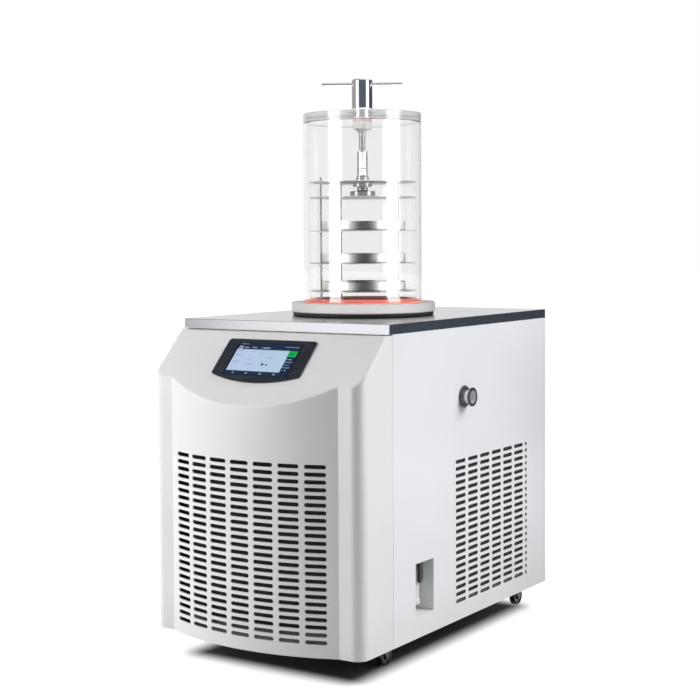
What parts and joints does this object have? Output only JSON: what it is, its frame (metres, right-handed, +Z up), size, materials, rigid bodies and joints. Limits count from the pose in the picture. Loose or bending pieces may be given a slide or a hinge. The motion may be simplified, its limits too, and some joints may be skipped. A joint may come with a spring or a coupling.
{
  "type": "freeze dryer",
  "caption": "Floor-standing laboratory freeze dryer on castors with a clear top-press drying chamber, slotted cabinet, sloped display and cold trap.",
  "frame": {"origin": "on the floor, on the cabinet's symmetry plane, midway along the worktop's depth", "axes": "+X to the right seen from the front, towards the vacuum port; +Y to the back; +Z up"},
  "size_m": [0.531, 0.8615, 1.2115],
  "materials": {
    "white_paint": "smooth powder coat",
    "cover_white": "smooth satin paint",
    "stainless": "fine brushed, bright",
    "plated_steel": "plain bright sheet",
    "tray_steel": "brushed",
    "polished_steel": "polished",
    "bezel_black": "satin gloss",
    "display_glass": "glossy",
    "recess_grey": "satin",
    "valve_white": "moulded",
    "lever_black": "moulded",
    "hose_clear": "smooth",
    "slate_plastic": "moulded",
    "castor_black": "moulded",
    "copper": "bright tube",
    "foam": "closed-cell foam",
    "compressor_black": "gloss enamel",
    "aluminium": "fins",
    "black_rubber": "moulded",
    "red_silicone": "translucent moulded",
    "clear_acrylic": "clear, polished edges",
    "nylon_grey": "translucent moulded"
  },
  "bodies": {
    "cabinet": {"base_disc": "stainless", "base_tray": "plated_steel", "castor_plates": "plated_steel", "chamber_lid": "clear_acrylic", "chamber_tube": "clear_acrylic", "cold_trap": "stainless", "compressor": "compressor_black", "condenser": "aluminium", "display": "display_glass", "drain_pipe": "hose_clear", "drain_valve": "valve_white", "evaporator_coil": "copper", "fan_motor": "compressor_black", "fan_shroud": "plated_steel", "filter_drier": "copper", "front_cover": "cover_white", "gasket": "red_silicone", "gland_nut": "nylon_grey", "gland_seal": "red_silicone", "guide_rods": "plated_steel", "lid_gland": "polished_steel", "port_collar": "slate_plastic", "power_module": "bezel_black", "press_nut": "polished_steel", "rear_panel": "white_paint", "recess_pocket": "recess_grey", "refrigerant_pipes": "copper", "rod_nuts": "plated_steel", "rubber_ring": "black_rubber", "screen_bezel": "bezel_black", "shelf_high": "plated_steel", "shelf_low": "plated_steel", "shelf_middle": "plated_steel", "side_panel_left": "white_paint", "side_panel_right": "white_paint", "support_frame": "plated_steel", "top_plate": "plated_steel", "trap_insulation": "foam", "tray_high": "tray_steel", "tray_low": "tray_steel", "tray_middle": "tray_steel", "vacuum_port": "polished_steel", "worktop": "stainless"},
    "castor_fork_front_left": {"castor_fork_front_left": "castor_black"},
    "castor_fork_front_right": {"castor_fork_front_right": "castor_black"},
    "castor_fork_rear_left": {"castor_fork_rear_left": "castor_black"},
    "castor_fork_rear_right": {"castor_fork_rear_right": "castor_black"},
    "castor_wheel_front_left": {"castor_wheel_front_left": "castor_black"},
    "castor_wheel_front_right": {"castor_wheel_front_right": "castor_black"},
    "castor_wheel_rear_left": {"castor_wheel_rear_left": "castor_black"},
    "castor_wheel_rear_right": {"castor_wheel_rear_right": "castor_black"},
    "drain_lever": {"drain_lever": "lever_black"},
    "fan_rotor": {"fan_rotor": "compressor_black"},
    "switch_rocker": {"switch_rocker": "bezel_black"},
    "handle": {"drive_rod": "polished_steel", "handle_hub": "polished_steel", "handle_bar": "polished_steel"},
    "press_carriage": {"press_foot": "polished_steel", "press_plate": "plated_steel"},
    "press_screw": {"press_screw": "polished_steel"}
  },
  "joints": [
    {"name": "swivel_front_left", "type": "hinge", "parent": "cabinet", "child": "castor_fork_front_left", "pos_m": [-0.197, -0.297, 0.05], "axis": [0, 0, 1], "continuous": true},
    {"name": "roll_front_left", "type": "hinge", "parent": "castor_fork_front_left", "child": "castor_wheel_front_left", "pos_m": [-0.197, -0.284, 0.02], "axis": [1, 0, 0], "continuous": true},
    {"name": "swivel_front_right", "type": "hinge", "parent": "cabinet", "child": "castor_fork_front_right", "pos_m": [0.197, -0.297, 0.05], "axis": [0, 0, 1], "continuous": true},
    {"name": "roll_front_right", "type": "hinge", "parent": "castor_fork_front_right", "child": "castor_wheel_front_right", "pos_m": [0.197, -0.284, 0.02], "axis": [1, 0, 0], "continuous": true},
    {"name": "swivel_rear_left", "type": "hinge", "parent": "cabinet", "child": "castor_fork_rear_left", "pos_m": [-0.197, 0.3, 0.05], "axis": [0, 0, 1], "continuous": true},
    {"name": "roll_rear_left", "type": "hinge", "parent": "castor_fork_rear_left", "child": "castor_wheel_rear_left", "pos_m": [-0.197, 0.313, 0.02], "axis": [1, 0, 0], "continuous": true},
    {"name": "swivel_rear_right", "type": "hinge", "parent": "cabinet", "child": "castor_fork_rear_right", "pos_m": [0.197, 0.3, 0.05], "axis": [0, 0, 1], "continuous": true},
    {"name": "roll_rear_right", "type": "hinge", "parent": "castor_fork_rear_right", "child": "castor_wheel_rear_right", "pos_m": [0.197, 0.313, 0.02], "axis": [1, 0, 0], "continuous": true},
    {"name": "drain_lever_turn", "type": "hinge", "parent": "cabinet", "child": "drain_lever", "pos_m": [0.2454, -0.21875, 0.172], "axis": [1, 0, 0], "range_deg": [-90, 0]},
    {"name": "fan_spin", "type": "hinge", "parent": "cabinet", "child": "fan_rotor", "pos_m": [0, -0.383, 0.222], "axis": [0, 1, 0], "continuous": true},
    {"name": "switch_rock", "type": "hinge", "parent": "cabinet", "child": "switch_rocker", "pos_m": [0.17, 0.3505, 0.206], "axis": [1, 0, 0], "range_deg": [0, 16]},
    {"name": "handle_turn", "type": "hinge", "parent": "cabinet", "child": "handle", "pos_m": [0, -0.0415, 1.18], "axis": [0, 0, -1], "range_deg": [0, 3960]},
    {"name": "press_travel", "type": "slide", "parent": "cabinet", "child": "press_carriage", "axis": [0, 0, -1], "range_m": [0, 0.044]},
    {"name": "screw_turn", "type": "hinge", "parent": "press_carriage", "child": "press_screw", "pos_m": [0, -0.0415, 1], "axis": [0, 0, -1], "range_deg": [0, 3960]}
  ],
  "couplings": [
    {"joint": "press_travel", "follows": "handle_turn", "m_per_rad": 0.00063662},
    {"joint": "screw_turn", "follows": "handle_turn", "ratio": 1}
  ]
}
